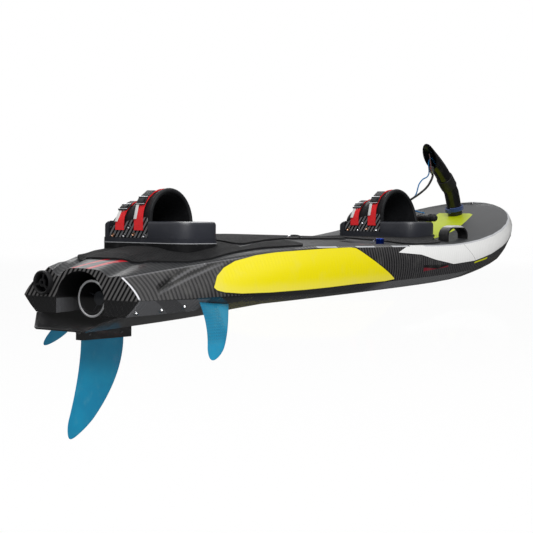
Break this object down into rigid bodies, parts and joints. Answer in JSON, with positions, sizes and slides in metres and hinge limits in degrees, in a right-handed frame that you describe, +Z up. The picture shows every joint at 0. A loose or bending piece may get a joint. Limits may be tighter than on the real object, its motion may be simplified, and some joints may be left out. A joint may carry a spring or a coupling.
{
  "type": "motorized surfboard",
  "caption": "Motor surfboard with a carbon hull, engine hatch, water jet, fins, two foot bindings and a bow pole with a throttle cable.",
  "frame": {"origin": "on the centre line, halfway between stern and bow, at the waterline", "axes": "+X towards the bow, +Y to port, +Z up"},
  "size_m": [1.8616, 0.615, 0.7341],
  "materials": {
    "carbon": "woven carbon under clear gloss lacquer",
    "foam": "matte ribbed deck foam",
    "padding": "black padded cloth",
    "black_plastic": "satin black",
    "engine": "plain cast metal",
    "steel": "brushed",
    "rubber": "satin dark grey",
    "blue_plastic": "satin teal blue",
    "red_webbing": "woven webbing",
    "blue_metal": "blue anodized",
    "blue_rope": "braided dark blue",
    "cable": "black cable sheath",
    "tether": "braided blue"
  },
  "bodies": {
    "board": {"hull": "carbon", "rear_deck_pad": "foam", "front_deck_pad": "foam", "engine_block": "engine", "pump_pod": "black_plastic", "intake_grate": "steel", "jet_tube": "steel", "pump_bulkhead": "black_plastic", "stator": "steel", "exhaust_outlet": "rubber", "fin_box": "black_plastic", "rear_fin": "blue_plastic", "port_fin": "blue_plastic", "starboard_fin": "blue_plastic", "rear_binding_bumper": "rubber", "rear_binding_rear_bracket": "carbon", "rear_binding_front_bracket": "carbon", "rear_binding_arch": "padding", "rear_binding_heel_strap": "red_webbing", "rear_binding_toe_strap": "red_webbing", "front_binding_bumper": "rubber", "front_binding_rear_bracket": "carbon", "front_binding_front_bracket": "carbon", "front_binding_arch": "padding", "front_binding_heel_strap": "red_webbing", "front_binding_toe_strap": "red_webbing", "carry_handle": "rubber", "fuel_cap": "blue_metal", "pole_lower_tube": "black_plastic", "pole_sleeve": "rubber", "pole_upper_tube": "black_plastic", "rope_lashing": "blue_rope", "cable_collar": "steel", "throttle_cable": "cable", "tether_cord": "tether", "throttle_grip": "black_plastic"},
    "lid": {"hatch_lid": "carbon", "hatch_pad": "foam", "port_latch": "black_plastic", "starboard_latch": "black_plastic"},
    "impeller": {"impeller": "steel"}
  },
  "joints": [
    {"name": "hatch_tilt", "type": "hinge", "parent": "board", "child": "lid", "pos_m": [-0.5275, 0, 0.129], "axis": [0, -1, 0], "range_deg": [0, 75]},
    {"name": "impeller_spin", "type": "hinge", "parent": "board", "child": "impeller", "pos_m": [-0.8, 0, -0.004], "axis": [1, 0, 0], "continuous": true}
  ]
}
